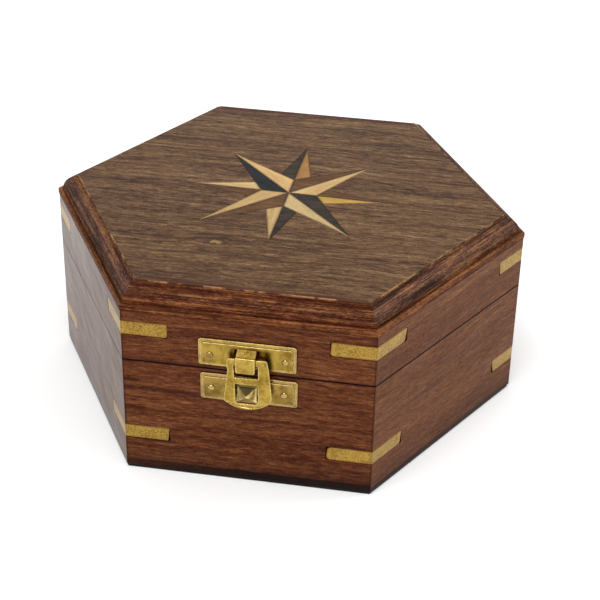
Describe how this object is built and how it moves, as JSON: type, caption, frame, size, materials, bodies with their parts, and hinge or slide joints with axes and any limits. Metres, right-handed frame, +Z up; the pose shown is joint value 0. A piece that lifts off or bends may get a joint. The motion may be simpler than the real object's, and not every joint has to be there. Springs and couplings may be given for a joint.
{
  "type": "hinged wooden box",
  "caption": "Hexagonal hardwood keepsake box: hinged moulded lid with an inlaid star, brass strips let in across the corners, and a swinging brass catch.",
  "frame": {"origin": "centre of the felt's underside, on the surface that the box stands on", "axes": "+Z up, -Y the front wall with the catch, +X to the right along the front wall and through two corners of the hexagon"},
  "size_m": [0.1604, 0.1463, 0.0684],
  "materials": {
    "lid_top_wood": "satin lacquer on medium-dark rosewood, fine dark streaks along X",
    "wall_wood": "gloss lacquer on reddish rosewood, dark streaks along each wall",
    "board_wood": "plain rosewood board, thin lacquer",
    "felt": "black wool felt",
    "inlay_light": "pale straight-grained inlay wood under satin lacquer",
    "inlay_tan": "tan inlay wood under satin lacquer",
    "inlay_black": "black-dyed inlay wood under satin lacquer",
    "inlay_brown": "dark red-brown inlay wood under satin lacquer",
    "strip_brass": "sanded flush, fine scratches",
    "catch_brass": "satin pressed sheet, darker in the recesses",
    "hasp_brass": "satin pressed sheet, worn brighter at the edges",
    "hinge_brass": "satin",
    "fixing_brass": "bright, slightly scratched"
  },
  "bodies": {
    "base": {"base_front_wall": "wall_wood", "base_front_right_wall": "wall_wood", "base_back_right_wall": "wall_wood", "base_back_wall": "wall_wood", "base_back_left_wall": "wall_wood", "base_front_left_wall": "wall_wood", "bottom_board": "board_wood", "base_felt": "felt", "base_strip_front_right": "strip_brass", "base_strip_right": "strip_brass", "base_strip_back_right": "strip_brass", "base_strip_back_left": "strip_brass", "base_strip_left": "strip_brass", "base_strip_front_left": "strip_brass", "catch_base_plate": "catch_brass", "catch_base_nails": "fixing_brass", "hinge_left_base_leaf": "hinge_brass", "hinge_left_pin": "hinge_brass", "hinge_right_base_leaf": "hinge_brass", "hinge_right_pin": "hinge_brass", "hinge_base_screws": "fixing_brass"},
    "lid": {"lid_front_wall": "wall_wood", "lid_front_right_wall": "wall_wood", "lid_back_right_wall": "wall_wood", "lid_back_wall": "wall_wood", "lid_back_left_wall": "wall_wood", "lid_front_left_wall": "wall_wood", "lid_top": "lid_top_wood", "star_east_light": "inlay_light", "star_east_dark": "inlay_brown", "star_northeast_light": "inlay_light", "star_northeast_dark": "inlay_brown", "star_north_light": "inlay_tan", "star_north_dark": "inlay_black", "star_northwest_light": "inlay_light", "star_northwest_dark": "inlay_black", "star_west_light": "inlay_light", "star_west_dark": "inlay_brown", "star_southwest_light": "inlay_light", "star_southwest_dark": "inlay_brown", "star_south_light": "inlay_light", "star_south_dark": "inlay_black", "star_southeast_light": "inlay_light", "star_southeast_dark": "inlay_black", "lid_strip_front_right": "strip_brass", "lid_strip_right": "strip_brass", "lid_strip_back_right": "strip_brass", "lid_strip_back_left": "strip_brass", "lid_strip_left": "strip_brass", "lid_strip_front_left": "strip_brass", "catch_lid_plate": "catch_brass", "catch_lid_nails": "fixing_brass", "hinge_left_lid_leaf": "hinge_brass", "hinge_right_lid_leaf": "hinge_brass", "hinge_lid_screws": "fixing_brass"},
    "hasp": {"catch_hasp": "hasp_brass"}
  },
  "joints": [
    {"name": "lid_hinge", "type": "hinge", "parent": "base", "child": "lid", "pos_m": [0, 0.07113, 0.0424], "axis": [-1, 0, 0], "range_deg": [0, 110]},
    {"name": "hasp_swing", "type": "hinge", "parent": "lid", "child": "hasp", "pos_m": [0, -0.07208, 0.0482], "axis": [-1, 0, 0], "range_deg": [0, 170]}
  ]
}
